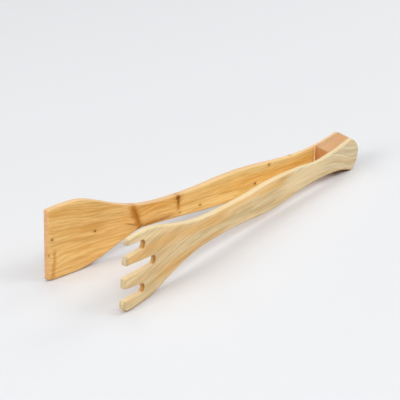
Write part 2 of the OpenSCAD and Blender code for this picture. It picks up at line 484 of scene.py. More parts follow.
@dataclass
class FlatBoard:
    """A board before it is bent: its outline with softened edges, filled on both faces."""

    outline: Outline
    inner_soft: Sequence[float]
    rings: int = 6
    support: float = 0.2
    mesh_step: float = 0.0035
    clearance: float = 0.55
    near_bored: float = 0.3

    def inward(self) -> np.ndarray:
        """Unit directions into the board at each point of the outline."""
        p = np.array(self.outline.points)
        along = np.roll(p, -1, 0) - np.roll(p, 1, 0)
        across = np.stack([-along[:, 1], along[:, 0]], 1)
        return across / np.linalg.norm(across, axis=1, keepdims=True)

    def fill(self, rim: np.ndarray) -> tuple[np.ndarray, list[list[int]]]:
        """Fill a closed rim with even triangles.

        Args:
            rim: Points of the rim, in metres.

        Returns:
            Inner points, and triangles that count the rim first and the inner points after it.
        """
        step = self.mesh_step / MM
        scaled = rim / MM
        low, high = scaled.min(0), scaled.max(0)
        count = len(scaled)
        inner = []
        for i, u in enumerate(np.arange(low[0] + step / 2, high[0], step)):
            for z in np.arange(low[1] + (step / 2 if i % 2 else step), high[1], step):
                spot = np.array([u, z])
                room = np.min(np.linalg.norm(scaled - spot, axis=1))
                if room > self.clearance * step and self.holds(scaled, spot):
                    inner.append(spot)
        spots = [Vector(p) for p in [*scaled, *inner]]
        loop = [(i, (i + 1) % count) for i in range(count)]
        inside_only, nearness = 1, 1e-6
        _, _, faces, origin, _, _ = delaunay_2d_cdt(spots, loop, [], inside_only, nearness)
        triangles = [[origin[i][0] for i in face] for face in faces]
        return np.array(inner).reshape(-1, 2) * MM, triangles

    @staticmethod
    def holds(rim: np.ndarray, spot: np.ndarray) -> bool:
        """Whether a point lies inside a closed rim."""
        a, b = rim, np.roll(rim, -1, 0)
        crosses = (a[:, 1] > spot[1]) != (b[:, 1] > spot[1])
        a, b = a[crosses], b[crosses]
        at = a[:, 0] + (spot[1] - a[:, 1]) / (b[:, 1] - a[:, 1]) * (b[:, 0] - a[:, 0])
        return bool(np.count_nonzero(at > spot[0]) % 2)

    def build(self, name: str) -> Piece:
        """Make the flat board.

        The mesh holds the distance along as X, the depth below the near face as Y and the height as Z.
        Its attributes say how far across the board a point lies, how near the rim, and how much it
        is end grain, a bored wall or the lower edge, on which the finish paints shade.

        Args:
            name: Name of the object.

        Returns:
            The object, linked to the scene.
        """
        p, inward = np.array(self.outline.points), self.inward()
        count = len(p)
        outer_soft, inner_soft = np.array(self.outline.soft), np.array(self.inner_soft)
        # low says how far an edge faces down; the finish darkens it there as painted shade.
        end, wall, low = inward[:, 0] ** 2, np.array(self.outline.bored), np.maximum(inward[:, 1], 0.0)
        places: list[np.ndarray] = []
        layers: dict[str, list[np.ndarray]] = {
            label: [] for label in ("across", "rim", "end_grain", "bored", "under")
        }

        def add(spots: np.ndarray, sink: Numbers, **values: Numbers) -> None:
            """Add points with their attributes, which are 0 where nothing is said."""
            zero = np.zeros(len(spots))
            places.append(np.stack([spots[:, 0], zero + sink, spots[:, 1]], 1))
            for label, parts in layers.items():
                parts.append(zero + values.get(label, 0.0))

        def ring(soft: np.ndarray, turn: float, extra: float, far: bool) -> None:
            """Add one ring round the board."""
            rise = math.sin(turn)
            inset = soft * (1 - rise) + extra * soft
            sink = soft * (1 - math.cos(turn)) * (-1 if far else 1)
            add(
                p + inward * inset[:, None], sink, across=float(far), rim=rise, end_grain=end * rise**2,
                bored=wall * rise**2 * (1.0 if far else self.near_bored), under=low * rise,
            )

        turns = [QUARTER * k / self.rings for k in range(self.rings + 1)]
        ring(inner_soft, 0.0, self.support, False)
        for turn in turns:
            ring(inner_soft, turn, 0.0, False)
        for turn in reversed(turns):
            ring(outer_soft, turn, 0.0, True)
        ring(outer_soft, 0.0, self.support, True)
        ring_count = len(places)
        faces = []
        for k in range(ring_count - 1):
            for j in range(count):
                a, b = k * count + j, k * count + (j + 1) % count
                faces.append([a, b, b + count, a + count])
        total = ring_count * count
        for first, far in ((0, False), ((ring_count - 1) * count, True)):
            inner, triangles = self.fill(places[first // count][:, [0, 2]])
            add(inner, 0.0, across=float(far))
            for t in triangles:
                faces.append([first + i if i < count else total + i - count for i in t])
            total += len(inner)
        mesh = bpy.data.meshes.new(name)
        mesh.from_pydata(np.concatenate(places).tolist(), [], faces)
        for label, parts in layers.items():
            layer = mesh.attributes.new(label, "FLOAT", "POINT")
            layer.data.foreach_set("value", np.concatenate(parts).astype(np.float32))
        return new_object(name, mesh)


class ShapeTree:
    """A geometry node tree that turns a flat board into a placed piece of wood."""

    DIP_HEIGHT = 0.010
    DIP_FULL_TO = 0.048
    DIP_ENDS_AT = 0.085

    def __init__(self, name: str, sizes: Sequence[str]) -> None:
        """Make the tree with a named input for each size.

        Args:
            name: Name of the tree.
            sizes: Names of the number inputs.
        """
        inputs = {"Geometry": Kind.GEOMETRY, **{size: Kind.FLOAT for size in sizes}}
        inputs |= {"Pitch": Kind.FLOAT, "Place": Kind.VECTOR, "Material": Kind.MATERIAL}
        self.pen = TreePen.group(name, "GeometryNodeTree", inputs, {"Geometry": Kind.GEOMETRY})
        self.size = self.pen.entry
        self.along, self.sink, self.height = self.pen.split(self.pen.out("GeometryNodeInputPosition"))
        across = {"Name": "across"}
        self.across = self.pen.out("GeometryNodeInputNamedAttribute", across, data_type="FLOAT")

    def sand_down(self, amount: Value) -> None:
        """Lower the butt's upper edge, as where one side was sanded further down.

        Args:
            amount: How far the edge is lowered.
        """
        pen = self.pen
        high = pen.step(self.height, 0.0, self.DIP_HEIGHT)
        share = pen.times(high, pen.fade(self.along, self.DIP_FULL_TO, self.DIP_ENDS_AT))
        self.height = pen.math("SUBTRACT", self.height, pen.times(share, amount))

    def finish(self, depth: Socket, y: Socket, wave: Value = 0.0) -> None:
        """Lay the piece down, keep its board coordinates for the grain and give it its material.

        Args:
            depth: Depth of a point inside its board, for the grain.
            y: Distance of a point from the middle plane.
            wave: How far hand sanding moves a point along its normal.
        """
        pen = self.pen
        grain = pen.join(self.along, depth, self.height)
        kept = {"Geometry": self.size["Geometry"], "Name": "grain", "Value": grain}
        shape = pen.out("GeometryNodeStoreNamedAttribute", kept, data_type="FLOAT_VECTOR", domain="POINT")
        spot = pen.join(pen.times(self.along, -1.0), y, self.height)
        shape = pen.out("GeometryNodeSetPosition", {"Geometry": shape, "Position": spot})
        shift = pen.scale(pen.out("GeometryNodeInputNormal"), wave)
        shape = pen.out("GeometryNodeSetPosition", {"Geometry": shape, "Offset": shift})
        turn = pen.join(0.0, self.size["Pitch"], 0.0)
        placed = {"Geometry": shape, "Translation": self.size["Place"], "Rotation": turn}
        pen.end_shape(pen.out("GeometryNodeTransform", placed))


def bent_board_tree() -> Tree:
    """Tree for an arm: flat along the block, curved outward past it, thin at the neck.

    Returns:
        The geometry node tree.
    """
    taper_from, ripple_scale, ripple_across, sanded_from, sanded_to = 1.5, 34.0, 3.0, 0.002, 0.03
    shape = ShapeTree("bent_board", [
        "Length", "Half Gap", "Wedge Slope", "Tip Slope", "Block Length", "Waist At", "Swell At",
        "Neck Thickness", "Grip Thickness", "Tip Thickness", "Side", "Sanding Wave", "Butt Dip",
    ])
    pen, size, u = shape.pen, shape.size, shape.along
    shape.sand_down(size["Butt Dip"])
    past = pen.math("MAXIMUM", pen.math("SUBTRACT", u, size["Block Length"]), 0.0)
    free = pen.math("SUBTRACT", size["Length"], size["Block Length"])
    bend = pen.math("DIVIDE", pen.math("SUBTRACT", size["Tip Slope"], size["Wedge Slope"]), free)
    curve = pen.times(pen.times(bend, 0.5), pen.times(past, past))
    straight = pen.math("MULTIPLY_ADD", u, size["Wedge Slope"], size["Half Gap"])
    inner = pen.math("ADD", straight, curve)
    neck, grip, tip = (size[f"{place} Thickness"] for place in ("Neck", "Grip", "Tip"))
    body = pen.step(u, size["Waist At"], size["Swell At"], neck, grip)
    taper_at = pen.times(size["Swell At"], taper_from)
    taper = pen.step(u, taper_at, size["Length"], 0.0, pen.math("SUBTRACT", tip, grip))
    depth = pen.math("MULTIPLY_ADD", shape.across, pen.math("ADD", body, taper), shape.sink)
    y = pen.times(pen.math("ADD", inner, depth), size["Side"])
    ripple = pen.noise(pen.join(u, pen.times(y, ripple_across), shape.height), ripple_scale, detail=1.0)
    wave = pen.times(pen.math("SUBTRACT", ripple, 0.5), size["Sanding Wave"])
    shape.finish(depth, y, pen.times(wave, pen.step(past, sanded_from, sanded_to)))
    return pen.tree


def wedge_tree() -> Tree:
    """Tree for a slice of the butt between two planes that spread towards the heads.

    Returns:
        The geometry node tree.
    """
    shape = ShapeTree("butt_slice", [
        "Near Side", "Far Side", "Near Slope", "Far Slope", "Half Gap", "Wedge Slope", "Butt Dip",
    ])
    pen, size, u = shape.pen, shape.size, shape.along
    near = pen.math("MULTIPLY_ADD", u, size["Near Slope"], size["Near Side"])
    far = pen.math("MULTIPLY_ADD", u, size["Far Slope"], size["Far Side"])
    across = pen.times(shape.across, pen.math("SUBTRACT", far, near))
    y = pen.math("ADD", pen.math("ADD", near, across), shape.sink)
    gap = pen.math("MULTIPLY_ADD", u, size["Wedge Slope"], size["Half Gap"])
    front = pen.math("MULTIPLY_ADD", pen.math("DIVIDE", y, gap), -0.5, 0.5, clamp=True)
    shape.sand_down(pen.times(front, size["Butt Dip"]))
    shape.finish(y, y)
    return pen.tree


def bead_tree() -> Tree:
    """Tree for glue squeezed out along a path: a thin round bead of uneven thickness.

    Returns:
        The geometry node tree.
    """
    lumps, sides = 260.0, 10
    inputs = {
        "Geometry": Kind.GEOMETRY, "Radius": Kind.FLOAT, "Unevenness": Kind.FLOAT, "Seed": Kind.FLOAT,
        "Material": Kind.MATERIAL,
    }
    pen = TreePen.group("glue_bead", "GeometryNodeTree", inputs, {"Geometry": Kind.GEOMETRY})
    path = pen.out("GeometryNodeMeshToCurve", {"Mesh": pen.entry["Geometry"]})
    seed = pen.join(pen.entry["Seed"], 0.0, 0.0)
    place = pen.vector("ADD", pen.out("GeometryNodeInputPosition"), seed)
    uneven = pen.math("SUBTRACT", pen.noise(place, lumps), 0.5)
    swell = pen.math("MULTIPLY_ADD", uneven, pen.entry["Unevenness"], 1.0)
    radius = pen.times(swell, pen.entry["Radius"])
    path = pen.out("GeometryNodeSetCurveRadius", {"Curve": path, "Radius": radius})
    circle = pen.out("GeometryNodeCurvePrimitiveCircle", {"Resolution": sides, "Radius": 1.0})
    pen.end_shape(pen.out("GeometryNodeCurveToMesh", {
        "Curve": path, "Profile Curve": circle, "Fill Caps": True,
        "Scale": pen.out("GeometryNodeInputRadius"),
    }))
    return pen.tree


def shape_piece(piece: Piece, tree: Tree, values: Values) -> None:
    """Run a geometry node tree on a piece and keep the result as a plain mesh without a modifier.

    Args:
        piece: Object whose mesh goes into the tree.
        tree: Geometry node tree.
        values: The tree's inputs, by name.
    """
    modifier = piece.modifiers.new("shape", "NODES")
    modifier.node_group = tree
    for item in tree.interface.items_tree:
        if item.item_type == "SOCKET" and item.in_out == "INPUT" and item.name in values:
            modifier[item.identifier] = values[item.name]
    graph = bpy.context.evaluated_depsgraph_get()
    graph.update()
    mesh = bpy.data.meshes.new_from_object(piece.evaluated_get(graph), depsgraph=graph)
    piece.modifiers.clear()
    piece.data = mesh
    work = bmesh.new()
    work.from_mesh(mesh)
    bmesh.ops.recalc_face_normals(work, faces=work.faces)
    work.to_mesh(mesh)
    work.free()
    if "across" in mesh.attributes:
        mesh.attributes.remove(mesh.attributes["across"])
    mesh.polygons.foreach_set("use_smooth", [True] * len(mesh.polygons))
    mesh.update()
    LOG.info("%s: %d faces", piece.name, len(mesh.polygons))


class WoodEffects:
    """Shader node groups that the wood finishes share.

    The waves are counts per metre along, through and up the board. A rise, fall or fade is a pair:
    where it starts and where it ends.
    """

    RING_WAVES = (18.0, 70.0, 70.0)
    BREAK_WAVES = (20.0, 200.0, 200.0)
    STREAK_WAVES = (45.0, 1500.0, 1500.0)
    DASH_WAVES = (30.0, 400.0, 400.0)
    TONE_WAVES = (14.0, 110.0, 110.0)
    BAND_WAVES = (7.0, 120.0, 170.0)
    RAGGED_WAVES = (30.0, 90.0, 260.0)
    KNOT_WAVES = 900.0
    RING_RISE, RING_FALL = (0.15, 0.72), (0.80, 1.0)
    CROWD_WAVES, CROWDING = 0.23, 2.4
    BREAK_RISE, BREAK_RANGE = (0.25, 0.62), (0.35, 1.0)
    RING_SWING, RING_LEAST = 0.7, 0.3
    DASH_RISE, BAND_RISE = (0.42, 0.66), (0.36, 0.66)
    KNOT_SWING, KNOT_LEAST = 0.9, 0.55
    CORE_FADE, HALO_FADE = (0.45, 1.25), (0.7, 3.2)
    RAGGEDNESS = 2.0
    STREAK_RISE, STREAK_FALL, STREAK_FADE = (-0.05, 0.25), (0.75, 1.05), (0.1, 1.3)

    def __init__(self) -> None:
        """Build each group once."""
        self.swirl = self._swirl()
        self.rings = self._rings()
        self.fibre = self._fibre()
        self.knot = self._knot()
        self.streak = self._streak()

    @staticmethod
    def _group(name: str, inputs: Mapping[str, Kind], outputs: Iterable[str]) -> TreePen:
        """A pen on a new group that takes the grain and gives numbers."""
        inputs = {"Grain": Kind.VECTOR, **inputs}
        return TreePen.group(name, "ShaderNodeTree", inputs, dict.fromkeys(outputs, Kind.FLOAT))

    @staticmethod
    def _swirl() -> Tree:
        """Group that lifts the grain round a place, so that the rings flow round it."""
        inputs = {"Grain": Kind.VECTOR, "Centre": Kind.VECTOR, "Reach": Kind.VECTOR, "Lift": Kind.FLOAT}
        pen = TreePen.group("grain_swirl", "ShaderNodeTree", inputs, {"Grain": Kind.VECTOR})
        off = pen.vector("SUBTRACT", pen.entry["Grain"], pen.entry["Centre"])
        distance = pen.length(pen.vector("DIVIDE", off, pen.entry["Reach"]))
        fall = pen.math("EXPONENT", pen.times(pen.math("POWER", distance, 2.0), -1.0))
        lift = pen.join(0.0, 0.0, pen.times(fall, pen.entry["Lift"]))
        pen.feed(pen.exit["Grain"], pen.vector("ADD", pen.entry["Grain"], lift))
        return pen.tree

    def _rings(self) -> Tree:
        """Group that cuts wavy growth rings of uneven width and strength round a pith line."""
        pen = self._group(
            "growth_rings",
            {"Pith": Kind.VECTOR, "Ring Width": Kind.FLOAT, "Waviness": Kind.FLOAT}, ["Late Wood"],
        )
        grain = pen.entry["Grain"]
        wander = pen.math("SUBTRACT", pen.drawn(grain, self.RING_WAVES, detail=4.0, rough=0.6), 0.5)
        _, y, z = pen.split(pen.vector("SUBTRACT", grain, pen.entry["Pith"]))
        radius = pen.length(pen.join(0.0, y, z))
        wavy = pen.math("MULTIPLY_ADD", wander, pen.entry["Waviness"], radius)
        ring = pen.math("DIVIDE", wavy, pen.entry["Ring Width"])
        crowd = pen.noise(pen.join(pen.times(ring, self.CROWD_WAVES), 0.0, 0.0), 1.0, detail=1.0)
        ring = pen.math("MULTIPLY_ADD", crowd, self.CROWDING, ring)
        part = pen.math("FRACT", ring)
        line = pen.times(pen.step(part, *self.RING_RISE), pen.fade(part, *self.RING_FALL))
        number = {"W": pen.math("FLOOR", ring)}
        own = pen.put("ShaderNodeTexWhiteNoise", number, noise_dimensions="1D").outputs["Value"]
        whole = pen.step(pen.drawn(grain, self.BREAK_WAVES), *self.BREAK_RISE, *self.BREAK_RANGE)
        strong = pen.times(pen.math("MULTIPLY_ADD", own, self.RING_SWING, self.RING_LEAST), whole)
        pen.feed(pen.exit["Late Wood"], pen.times(line, strong))
        return pen.tree

    def _fibre(self) -> Tree:
        """Group for what runs along the grain: thin streaks, dashes, slow changes of tone and bands."""
        pen = self._group("wood_fibre", {}, ["Streaks", "Dashes", "Tone", "Bands"])
        grain = pen.entry["Grain"]
        pen.feed(pen.exit["Streaks"], pen.drawn(grain, self.STREAK_WAVES, detail=3.0, rough=0.6))
        pen.feed(pen.exit["Dashes"], pen.step(pen.drawn(grain, self.DASH_WAVES), *self.DASH_RISE))
        pen.feed(pen.exit["Tone"], pen.drawn(grain, self.TONE_WAVES))
        bands = pen.drawn(grain, self.BAND_WAVES, detail=3.0, rough=0.6)
        pen.feed(pen.exit["Bands"], pen.step(bands, *self.BAND_RISE))
        return pen.tree

    def _knot(self) -> Tree:
        """Group for a small knot that runs through the board: its dark core and its halo."""
        pen = self._group("pin_knot", {
            "Centre": Kind.VECTOR, "Radius": Kind.VECTOR, "Darkness": Kind.FLOAT,
            "Core Before": Kind.FLOAT, "Halo Before": Kind.FLOAT,
        }, ["Core", "Halo"])
        grain = pen.entry["Grain"]
        uneven = pen.noise(grain, self.KNOT_WAVES)
        rough = pen.math("MULTIPLY_ADD", uneven, self.KNOT_SWING, self.KNOT_LEAST)
        off = pen.vector("SUBTRACT", grain, pen.entry["Centre"])
        x, _, z = pen.split(pen.vector("DIVIDE", off, pen.entry["Radius"]))
        distance = pen.times(pen.length(pen.join(x, 0.0, z)), rough)
        core = pen.times(pen.fade(distance, *self.CORE_FADE), pen.entry["Darkness"])
        halo = pen.fade(distance, *self.HALO_FADE)
        pen.feed(pen.exit["Core"], pen.math("MAXIMUM", core, pen.entry["Core Before"]))
        pen.feed(pen.exit["Halo"], pen.math("MAXIMUM", halo, pen.entry["Halo Before"]))
        return pen.tree

    def _streak(self) -> Tree:
        """Group for a ragged streak that fades out at both ends, between two places on the board."""
        pen = self._group("wood_streak", {
            "From": Kind.VECTOR, "To": Kind.VECTOR, "Half Width": Kind.FLOAT, "Strength": Kind.FLOAT,
            "Before": Kind.FLOAT,
        }, ["Mask"])
        face = pen.vector("MULTIPLY", pen.entry["Grain"], (1.0, 0.0, 1.0))
        way = pen.vector("SUBTRACT", pen.entry["To"], pen.entry["From"])
        off = pen.vector("SUBTRACT", face, pen.entry["From"])
        reach = pen.math("DIVIDE", pen.dot(off, way), pen.dot(way, way))
        share = pen.math("MINIMUM", pen.math("MAXIMUM", reach, 0.0), 1.0)
        distance = pen.length(pen.vector("SUBTRACT", off, pen.scale(way, share)))
        edge = pen.drawn(pen.entry["Grain"], self.RAGGED_WAVES, detail=3.0, rough=0.65)
        ragged = pen.times(edge, self.RAGGEDNESS)
        ratio = pen.times(pen.math("DIVIDE", distance, pen.entry["Half Width"]), ragged)
        ends = pen.times(pen.step(reach, *self.STREAK_RISE), pen.fade(reach, *self.STREAK_FALL))
        whole = pen.times(pen.fade(ratio, *self.STREAK_FADE), ends)
        mask = pen.times(whole, pen.entry["Strength"])
        pen.feed(pen.exit["Mask"], pen.math("MAXIMUM", mask, pen.entry["Before"]))
        return pen.tree


@dataclass(frozen=True)
class Knot:
    """A knot: distance from the butt, height, half-length along, half-height and how dark it is."""

    along: float
    height: float
    half_long: float
    half_high: float
    darkness: float = 0.9


@dataclass(frozen=True)
class Streak:
    """A streak or mark in the wood between two places, in metres."""

    from_along: float
    from_height: float
    to_along: float
    to_height: float
    half_width: float
    strength: float = 1.0


@dataclass(frozen=True)
class Swirl:
    """A place that the grain flows round: its centre, its reach and how far it lifts the grain."""

    along: float
    height: float
    reach_along: float
    reach_high: float
    lift: float
    depth: float = 0.002


class GrainPen(TreePen):
    """Draws wood into a material, on the board coordinates that the mesh holds."""

    THROUGH = 1.0

    def __init__(self, tree: Tree, effects: WoodEffects) -> None:
        """Start drawing with the shared node groups."""
        super().__init__(tree)
        self.effects = effects
        self.place = self.attribute("grain", "Vector")
        self.along, self.depth, _ = self.split(self.place)

    def flow(self, swirls: Iterable[Swirl]) -> Socket:
        """Make the grain flow round some places.

        Args:
            swirls: The places.

        Returns:
            Board coordinates, lifted round each of them.
        """
        grain = self.place
        for swirl in swirls:
            grain = self.use(self.effects.swirl, {
                "Grain": grain, "Centre": (swirl.along, swirl.depth, swirl.height),
                "Reach": (swirl.reach_along, self.THROUGH, swirl.reach_high), "Lift": swirl.lift,
            })["Grain"]
        return grain

    def lay(self, streaks: Iterable[Streak]) -> Value:
        """Draw streaks over one another.

        Args:
            streaks: The streaks.

        Returns:
            A mask of all of them, or 0 where there are none.
        """
        mask: Value = 0.0
        for streak in streaks:
            mask = self.use(self.effects.streak, {
                "Grain": self.place, "From": (streak.from_along, 0.0, streak.from_height),
                "To": (streak.to_along, 0.0, streak.to_height), "Half Width": streak.half_width,
                "Strength": streak.strength, "Before": mask,
            })["Mask"]
        return mask

    def pin(self, knots: Iterable[Knot], core: Value) -> tuple[Value, Value]:
        """Draw knots.

        Args:
            knots: The knots.
            core: A mask of what is dark already.

        Returns:
            Masks of all that is dark, and of the knots' halos.
        """
        halo: Value = 0.0
        for knot in knots:
            spot = self.use(self.effects.knot, {
                "Grain": self.place, "Centre": (knot.along, 0.0, knot.height),
                "Radius": (knot.half_long, self.THROUGH, knot.half_high), "Darkness": knot.darkness,
                "Core Before": core, "Halo Before": halo,
            })
            core, halo = spot["Core"], spot["Halo"]
        return core, halo


@dataclass(frozen=True)
class JuniperFinish:
    """Sanded and lightly oiled juniper, with the figure of one board.

    late, under, heel and heel_rim multiply the colour beneath them. under is painted shade on the
    lower edges, and heel is partly painted light on the spatula's inner face near the butt. A swing is
    how far a value moves with the grain, and a fade is a pair of depths in the board, in metres.
    """

    name: str
    early: Colour
    late: Colour
    other: Colour
    end: Colour
    pith: tuple[float, float, float]
    ring_width: float
    waviness: float
    dash_share: float = 0.75
    band_share: float = 0.5
    tone_swing: float = 0.22
    streak_swing: float = 0.24
    rim: Colour = srgb(208, 176, 138)
    rim_share: float = 0.8
    sap: Colour = srgb(255, 224, 156)
    knot: Colour = srgb(118, 62, 0)
    bored: Colour = srgb(180, 116, 24)
    stain: Colour = srgb(194, 120, 14)
    # Painted shade: the rounding of the lower edges is darkened, as where it faces the floor.
    under: Colour = (0.80, 0.52, 0.24, 1.0)
    lower_edge_shade_share: float = 0.8
    end_share: float = 0.85
    end_line_share: float = 0.8
    halo_share: float = 0.5
    heel: Colour = (1.0, 1.0, 1.0, 1.0)
    heel_rim: Colour = (1.0, 1.0, 1.0, 1.0)
    heel_from: float = 0.150
    heel_to: float = 0.050
    heel_inside: bool = False
    heel_fade: tuple[float, float] = (0.0015, 0.0030)
    seam_fade: tuple[float, float] = (0.0004, 0.0012)
    roughness: float = 0.48
    rough_swing: float = 0.16
    late_gloss: float = 0.08
    streak_relief: float = 0.6
    late_relief: float = 0.5
    bump_strength: float = 0.22
    bump_depth: float = 0.00025
    ior: float = 1.45
    specular: float = 0.3
    knots: tuple[Knot, ...] = ()
    marks: tuple[Streak, ...] = ()
    seams: tuple[Streak, ...] = ()
    stains: tuple[Streak, ...] = ()
    pale: tuple[Streak, ...] = ()
    streaks: tuple[Streak, ...] = ()
    worn: tuple[Streak, ...] = ()
    swirls: tuple[Swirl, ...] = ()

    def coats(self, pen: GrainPen, fibre: Outputs, late: Socket) -> tuple[tuple[Coat, Value, Value], ...]:
        """What lies on the early wood, from the bottom up.

        Args:
            pen: Pen on the material.
            fibre: What runs along the grain.
            late: Mask of the dark lines.

        Returns:
            How each coat lies, its mask and its colour.
        """
        rim, heel = pen.attribute("rim"), pen.fade(pen.along, self.heel_to, self.heel_from)
        if self.heel_inside:
            heel = pen.times(heel, pen.fade(pen.depth, *self.heel_fade))
        bands = pen.times(fibre["Bands"], self.band_share)
        tone = pen.around_one(fibre["Tone"], self.tone_swing)
        shade = pen.times(tone, pen.around_one(fibre["Streaks"], self.streak_swing))
        end = pen.math("MAXIMUM", pen.attribute("end_grain"), pen.lay(self.worn))
        cut = pen.blend(pen.times(late, self.end_line_share), self.end, self.late, Coat.TINT)
        seam = pen.times(pen.lay(self.seams), pen.fade(pen.depth, *self.seam_fade))
        core, halo = pen.pin(self.knots, pen.math("MAXIMUM", pen.lay(self.marks), seam))
        return (
            (Coat.COVER, pen.math("MAXIMUM", bands, pen.lay(self.streaks)), self.other),
            # heel tints the wood near the butt; on the spatula's inner face it is partly painted light.
            (Coat.TINT, heel, self.heel),
            (Coat.TINT, late, self.late),
            (Coat.TINT, 1.0, pen.join(shade, shade, shade)),
            (Coat.COVER, pen.times(rim, self.rim_share), self.rim),
            (Coat.TINT, pen.times(rim, heel), self.heel_rim),
            (Coat.COVER, pen.times(pen.lay(self.pale), pen.math("SUBTRACT", 1.0, rim)), self.sap),
            # Painted shade on the rounding of the lower edges.
            (Coat.TINT, pen.times(pen.attribute("under"), self.lower_edge_shade_share), self.under),
            (Coat.COVER, pen.times(end, self.end_share), cut),
            (Coat.COVER, pen.attribute("bored"), self.bored),
            (Coat.TINT, pen.times(halo, self.halo_share), self.late),
            (Coat.COVER, pen.lay(self.stains), self.stain),
            (Coat.COVER, core, self.knot),
        )

    def build(self, effects: WoodEffects) -> Material:
        """Make the material.

        Args:
            effects: The shared node groups.

        Returns:
            The finished material.
        """
        material = new_material(self.name)
        pen = GrainPen(material.node_tree, effects)
        grain = pen.flow(self.swirls)
        rings = pen.use(effects.rings, {
            "Grain": grain, "Pith": self.pith, "Ring Width": self.ring_width, "Waviness": self.waviness,
        })["Late Wood"]
        fibre = pen.use(effects.fibre, {"Grain": grain})
        dashes = pen.times(fibre["Dashes"], self.dash_share)
        late = pen.math("MAXIMUM", rings, dashes)
        colour: Value = self.early
        for coat, mask, hue in self.coats(pen, fibre, late):
            colour = pen.blend(mask, colour, hue, coat)
        rough = pen.math("MULTIPLY_ADD", fibre["Streaks"], self.rough_swing, self.roughness)
        lines = pen.times(late, self.late_relief)
        height = pen.math("MULTIPLY_ADD", fibre["Streaks"], self.streak_relief, lines)
        bump = pen.out("ShaderNodeBump", {
            "Height": height, "Strength": self.bump_strength, "Distance": self.bump_depth,
        })
        pen.end_surface({
            "Base Color": colour, "Normal": bump, "IOR": self.ior,
            "Roughness": pen.math("MULTIPLY_ADD", late, -self.late_gloss, rough),
            "Specular IOR Level": self.specular,
        })
        return material


@dataclass(frozen=True)
class GlueFinish:
    """Hardened wood glue."""

    name: str = "hard_glue"
    thin: Colour = srgb(178, 112, 52)
    thick: Colour = srgb(140, 84, 36)
    cloud_scale: float = 420.0
    roughness: float = 0.3
    rough_swing: float = 0.25
    bump_strength: float = 0.2
    bump_depth: float = 0.0002
    ior: float = 1.47

    def build(self) -> Material:
        """Make the material.

        Returns:
            The finished material.
        """
        material = new_material(self.name)
        pen = TreePen(material.node_tree)
        cloud = pen.noise(pen.put("ShaderNodeTexCoord").outputs["Object"], self.cloud_scale, detail=3.0)
        bump = pen.out("ShaderNodeBump", {
            "Height": cloud, "Strength": self.bump_strength, "Distance": self.bump_depth,
        })
        pen.end_surface({
            "Base Color": pen.blend(cloud, self.thin, self.thick),
            "Roughness": pen.math("MULTIPLY_ADD", cloud, self.rough_swing, self.roughness),
            "Normal": bump, "IOR": self.ior,
        })
        return material


SPATULA_WOOD = JuniperFinish(
    name="spatula_juniper",
    early=srgb(247, 206, 136), late=(0.78, 0.62, 0.36, 1.0), other=srgb(238, 182, 98),
    end=srgb(212, 162, 110), pith=(0.0, -0.018, -0.062), ring_width=0.0023, waviness=0.011,
    # The heel tint lifts the spatula's inner face near the butt: partly its own orange tone, partly
    # painted light against the shade of the fork arm.
    heel=(1.11, 1.20, 1.25, 1.0), heel_from=0.270, heel_to=0.120, heel_inside=True,
    knots=(
        Knot(0.3171, 0.0038, 0.0011, 0.0010),
        Knot(0.2776, 0.0004, 0.0011, 0.0009),
        Knot(0.3200, -0.0082, 0.0006, 0.0006),
        Knot(0.1943, 0.0062, 0.0024, 0.0021, 0.8),
        Knot(0.1940, 0.0026, 0.0013, 0.0034, 0.6),
        Knot(0.1702, -0.0065, 0.0012, 0.0008),
        Knot(0.1919, -0.0071, 0.0010, 0.0005),
        Knot(0.1068, -0.0042, 0.0012, 0.0011),
        Knot(0.0905, 0.0083, 0.0014, 0.0009),
        Knot(0.0630, 0.0101, 0.0014, 0.0007),
    ),
    marks=(
        Streak(0.2395, 0.0100, 0.2335, -0.0075, 0.0012, 0.35),
        Streak(0.2480, -0.0016, 0.2360, -0.0060, 0.0007, 0.5),
        Streak(0.2390, -0.0110, 0.2295, -0.0058, 0.0012, 0.6),
        Streak(0.2350, -0.0080, 0.2000, -0.0072, 0.0010, 0.6),
    ),
    seams=(Streak(0.0336, -0.0140, 0.0336, 0.0150, 0.0006, 0.2),),
    stains=(
        Streak(0.3150, -0.0040, 0.3150, -0.0190, 0.0018, 0.55),
        Streak(0.3148, -0.0120, 0.3172, -0.0290, 0.0020, 0.55),
        Streak(0.2430, 0.0150, 0.2318, -0.0130, 0.0042, 0.9),
        Streak(0.2480, -0.0068, 0.1900, -0.0074, 0.0034, 0.5),
        Streak(0.1940, 0.0090, 0.1936, -0.0060, 0.0024, 0.6),
    ),
    pale=(
        Streak(0.1800, 0.0092, 0.1000, 0.0096, 0.0030, 0.6),
        Streak(0.1250, 0.0085, 0.0200, 0.0118, 0.0048, 0.75),
        Streak(0.1150, 0.0120, -0.0300, 0.0210, 0.0080, 0.8),
        Streak(0.3450, 0.0290, 0.2250, 0.0270, 0.0030, 0.25),
    ),
    streaks=(
        Streak(0.2500, 0.0060, 0.1850, 0.0060, 0.0070, 0.9),
        Streak(0.1600, -0.0030, 0.0700, 0.0035, 0.0045, 0.9),
        Streak(0.1150, -0.0020, 0.0200, 0.0010, 0.0070, 1.0),
    ),
    swirls=(
        Swirl(0.3400, 0.0300, 0.0600, 0.0300, -0.0110),
        Swirl(0.2368, -0.0020, 0.0120, 0.0080, 0.0035),
        Swirl(0.3150, -0.0160, 0.0060, 0.0080, 0.0030),
        Swirl(0.1943, 0.0035, 0.0080, 0.0050, 0.0025),
    ),
)

